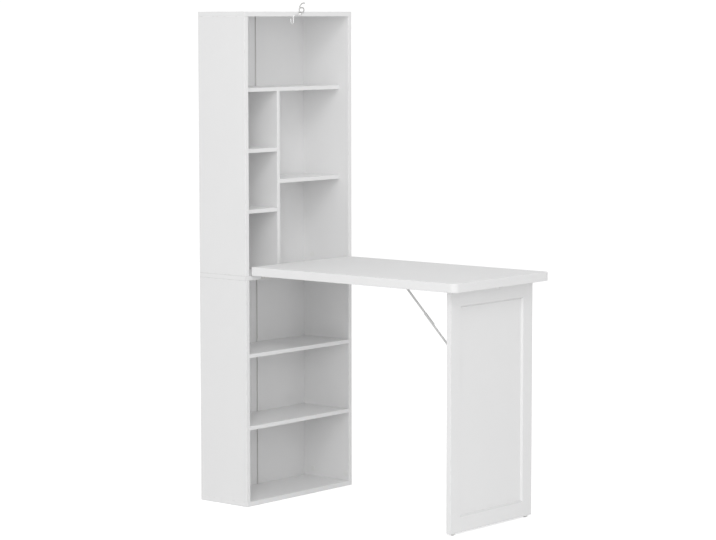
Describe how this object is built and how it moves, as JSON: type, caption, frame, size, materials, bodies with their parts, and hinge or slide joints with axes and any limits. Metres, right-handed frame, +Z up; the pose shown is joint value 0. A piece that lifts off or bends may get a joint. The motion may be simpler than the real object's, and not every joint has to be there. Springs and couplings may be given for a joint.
{
  "type": "folding computer desk",
  "caption": "Tall narrow open bookcase with a desk top that hinges up flat against its front; a panel leg under the free end folds away on jointed stays, and a wire hook holds the top closed.",
  "frame": {"origin": "centre of the bookcase's footprint on the floor", "axes": "X to the right, the bookcase's open front faces -Y and the desk top reaches out along -Y, Z up"},
  "size_m": [0.5, 0.9881, 1.5479],
  "materials": {
    "white_board": "satin white melamine on particle board",
    "white_back": "white lacquered hardboard",
    "beech": "raw beech",
    "zinc": "bright zinc",
    "hinge_steel": "nickel plated",
    "stay_steel": "light grey powder coat",
    "latch_steel": "nickel plated wire",
    "glide_plastic": "moulded nylon"
  },
  "bodies": {
    "bookcase": {"base_board": "white_board", "lower_left_side": "white_board", "lower_right_side": "white_board", "floor_shelf_low": "white_board", "floor_shelf_high": "white_board", "deck_board": "white_board", "upper_left_side": "white_board", "upper_right_side": "white_board", "top_board": "white_board", "wide_shelf": "white_board", "divider": "white_board", "left_shelf_low": "white_board", "left_shelf_high": "white_board", "right_shelf": "white_board", "lower_back_left": "white_back", "lower_back_right": "white_back", "lower_back_strip": "white_back", "upper_back_left": "white_back", "upper_back_right": "white_back", "upper_back_strip": "white_back", "lower_dowels": "beech", "upper_dowels": "beech", "deck_dowels": "beech", "cam_locks": "zinc", "base_bolts": "zinc", "deck_bolts": "zinc", "top_screws": "zinc", "cam_caps": "glide_plastic", "deck_hinge_leaves": "hinge_steel", "table_hinge_pins": "hinge_steel", "deck_hinge_screws": "hinge_steel", "hook_screw": "latch_steel"},
    "table": {"tabletop": "white_board", "table_hinge_leaves": "hinge_steel", "table_hinge_screws": "hinge_steel", "leg_hinge_upper_leaves": "hinge_steel", "leg_hinge_pins": "hinge_steel", "leg_hinge_upper_screws": "hinge_steel", "stay_table_brackets": "stay_steel", "stay_table_rivets": "hinge_steel", "stay_table_screws": "hinge_steel", "catch_peg": "latch_steel"},
    "leg": {"leg_panel": "white_board", "leg_glides": "glide_plastic", "leg_hinge_lower_leaves": "hinge_steel", "leg_hinge_lower_screws": "hinge_steel", "stay_leg_brackets": "stay_steel", "stay_leg_rivets": "hinge_steel", "stay_leg_screws": "hinge_steel"},
    "stay_upper_left": {"stay_upper_arm_left": "stay_steel", "stay_lock_left": "stay_steel", "stay_knuckle_rivet_left": "hinge_steel"},
    "stay_upper_right": {"stay_upper_arm_right": "stay_steel", "stay_lock_right": "stay_steel", "stay_knuckle_rivet_right": "hinge_steel"},
    "stay_lower_left": {"stay_lower_arm_left": "stay_steel"},
    "stay_lower_right": {"stay_lower_arm_right": "stay_steel"},
    "hook": {"hook": "latch_steel"}
  },
  "joints": [
    {"name": "table_fold", "type": "hinge", "parent": "bookcase", "child": "table", "pos_m": [0, -0.1008, 0.7132], "axis": [-1, 0, 0], "range_deg": [0, 90]},
    {"name": "leg_fold", "type": "hinge", "parent": "table", "child": "leg", "pos_m": [0, -0.8303, 0.7122], "axis": [1, 0, 0], "range_deg": [0, 90]},
    {"name": "stay_upper_swing_left", "type": "hinge", "parent": "table", "child": "stay_upper_left", "pos_m": [-0.166, -0.6593, 0.7122], "axis": [1, 0, 0], "range_deg": [0, 135]},
    {"name": "stay_lower_swing_left", "type": "hinge", "parent": "leg", "child": "stay_lower_left", "pos_m": [-0.168, -0.8303, 0.5412], "axis": [-1, 0, 0], "range_deg": [0, 135]},
    {"name": "stay_upper_swing_right", "type": "hinge", "parent": "table", "child": "stay_upper_right", "pos_m": [0.166, -0.6593, 0.7122], "axis": [1, 0, 0], "range_deg": [0, 135]},
    {"name": "stay_lower_swing_right", "type": "hinge", "parent": "leg", "child": "stay_lower_right", "pos_m": [0.168, -0.8303, 0.5412], "axis": [-1, 0, 0], "range_deg": [0, 135]},
    {"name": "hook_swing", "type": "hinge", "parent": "bookcase", "child": "hook", "pos_m": [0, -0.0997, 1.513], "axis": [0, -1, 0], "range_deg": [0, 88]}
  ],
  "couplings": [
    {"joint": "stay_upper_swing_left", "follows": "leg_fold", "ratio": 1.5},
    {"joint": "stay_lower_swing_left", "follows": "leg_fold", "ratio": 1.5},
    {"joint": "stay_upper_swing_right", "follows": "leg_fold", "ratio": 1.5},
    {"joint": "stay_lower_swing_right", "follows": "leg_fold", "ratio": 1.5}
  ]
}
